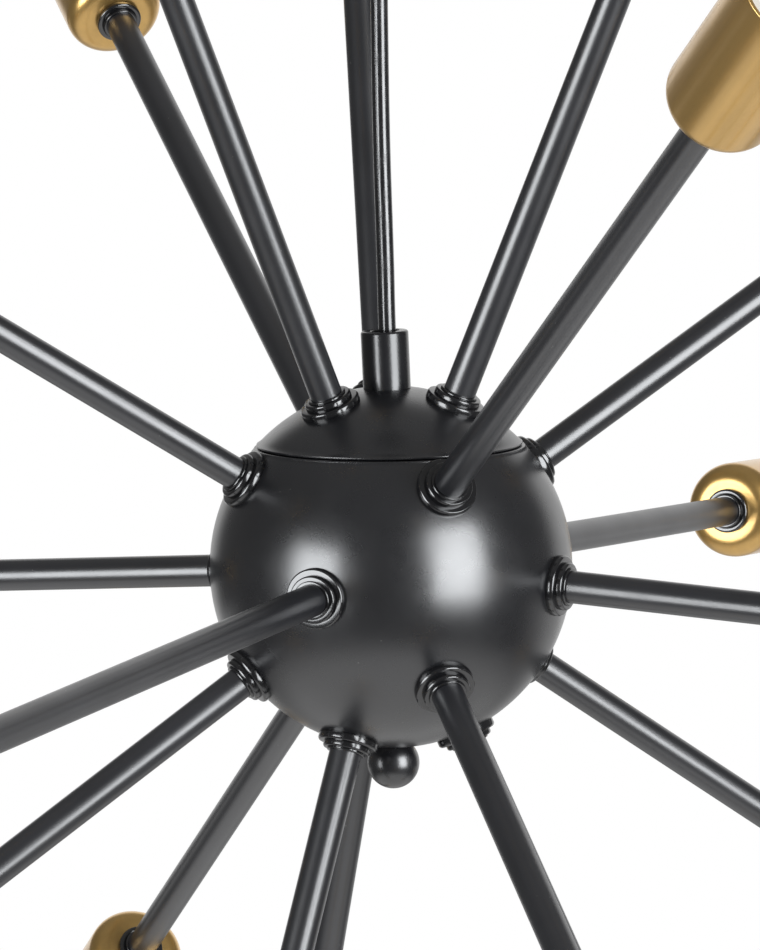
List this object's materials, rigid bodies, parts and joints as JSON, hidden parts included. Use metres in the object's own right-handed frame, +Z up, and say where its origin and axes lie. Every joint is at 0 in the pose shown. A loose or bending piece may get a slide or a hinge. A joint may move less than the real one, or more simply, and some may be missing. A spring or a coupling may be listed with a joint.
{
  "type": "sputnik chandelier",
  "caption": "Sputnik chandelier: a satin black ball hung on a cord, with straight black arms all round it that end in satin gold lamp cups.",
  "frame": {"origin": "middle of the ceiling bracket's top face, where it meets the ceiling", "axes": "+Z up into the ceiling; -Y is the side that the picture is taken from, +X to its right"},
  "size_m": [0.6774, 0.6766, 0.8389],
  "materials": {
    "ball_black": "satin black enamel",
    "black_satin": "satin black enamel",
    "arm_black": "satin black powder coat",
    "collar_black": "gloss black enamel",
    "cup_gold": "satin gold lacquer",
    "zinc_steel": "zinc plated",
    "brass_fittings": "turned brass",
    "shell_nickel": "nickel plated",
    "ivory_ceramic": "glazed white",
    "ivory_plastic": "matte",
    "black_plastic": "matte",
    "black_cord": "smooth glossy jacket",
    "lead_insulation": "smooth"
  },
  "bodies": {
    "bracket": {"ceiling_bracket": "zinc_steel", "bracket_studs": "zinc_steel", "earth_screw": "brass_fittings"},
    "canopy": {"canopy": "black_satin", "canopy_grip": "black_satin", "grip_lock_nut": "zinc_steel", "terminal_block": "ivory_plastic", "terminal_screws": "brass_fittings", "cord_upper_end": "black_cord"},
    "cap_nut_left": {"cap_nut_left": "black_satin"},
    "cap_nut_right": {"cap_nut_right": "black_satin"},
    "cord_bush": {"cord_bush": "black_plastic"},
    "cord": {"cord": "black_cord"},
    "head": {"coupler": "black_satin", "coupler_bush": "black_plastic", "cord_lower_end": "black_cord", "centre_tube": "zinc_steel", "tube_end_bush": "brass_fittings", "cap_lock_nut": "zinc_steel", "ball_cap": "ball_black", "wire_splices": "black_plastic", "arm_tube_01": "arm_black", "arm_tube_02": "arm_black", "arm_tube_03": "arm_black", "lamp_cups_ring_1": "cup_gold", "arm_collars_cap": "collar_black", "arm_nuts_cap": "zinc_steel", "cup_washers_cap": "collar_black", "lampholders_cap": "ivory_ceramic", "screw_shells_cap": "shell_nickel", "centre_contacts_cap": "brass_fittings", "arm_leads_cap": "lead_insulation"},
    "bowl": {"ball_bowl": "ball_black", "arm_tube_04": "arm_black", "arm_tube_05": "arm_black", "arm_tube_06": "arm_black", "arm_tube_07": "arm_black", "arm_tube_08": "arm_black", "arm_tube_09": "arm_black", "arm_tube_10": "arm_black", "arm_tube_11": "arm_black", "arm_tube_12": "arm_black", "arm_tube_13": "arm_black", "arm_tube_14": "arm_black", "arm_tube_15": "arm_black", "arm_tube_16": "arm_black", "arm_tube_17": "arm_black", "arm_tube_18": "arm_black", "lamp_cups_ring_2": "cup_gold", "lamp_cups_ring_3": "cup_gold", "lamp_cups_ring_4": "cup_gold", "lamp_cups_ring_5": "cup_gold", "arm_collars_bowl": "collar_black", "arm_nuts_bowl": "zinc_steel", "cup_washers_bowl": "collar_black", "lampholders_bowl": "ivory_ceramic", "screw_shells_bowl": "shell_nickel", "centre_contacts_bowl": "brass_fittings", "arm_leads_bowl": "lead_insulation"},
    "finial": {"finial": "black_satin"}
  },
  "joints": [
    {"name": "canopy_drop", "type": "slide", "parent": "bracket", "child": "canopy", "axis": [0, 0, -1], "range_m": [0, 0.008]},
    {"name": "cap_nut_left_turn", "type": "hinge", "parent": "canopy", "child": "cap_nut_left", "pos_m": [-0.047, 0, -0.03], "axis": [0, 0, -1], "range_deg": [0, 4115]},
    {"name": "cap_nut_right_turn", "type": "hinge", "parent": "canopy", "child": "cap_nut_right", "pos_m": [0.047, 0, -0.03], "axis": [0, 0, -1], "range_deg": [0, 4115]},
    {"name": "pendant_turn", "type": "hinge", "parent": "canopy", "child": "cord_bush", "pos_m": [0, 0, -0.0365], "axis": [0, 0, 1], "range_deg": [-180, 180], "stiffness_Nm_per_rad": 0.02},
    {"name": "pendant_swing", "type": "hinge", "parent": "cord_bush", "child": "cord", "pos_m": [0, 0, -0.0365], "axis": [0, 1, 0], "range_deg": [-12, 12]},
    {"name": "head_rock", "type": "hinge", "parent": "cord", "child": "head", "pos_m": [0, 0, -0.43248], "axis": [1, 0, 0], "range_deg": [-6, 6]},
    {"name": "bowl_drop", "type": "slide", "parent": "head", "child": "bowl", "axis": [0, 0, -1], "range_m": [0, 0.01]},
    {"name": "finial_turn", "type": "hinge", "parent": "bowl", "child": "finial", "pos_m": [0, 0, -0.56], "axis": [0, 0, -1], "range_deg": [0, 3601]}
  ],
  "couplings": [
    {"joint": "cap_nut_left_turn", "follows": "canopy_drop", "rad_per_m": 8976},
    {"joint": "cap_nut_right_turn", "follows": "canopy_drop", "rad_per_m": 8976},
    {"joint": "finial_turn", "follows": "bowl_drop", "rad_per_m": 6283.2}
  ]
}
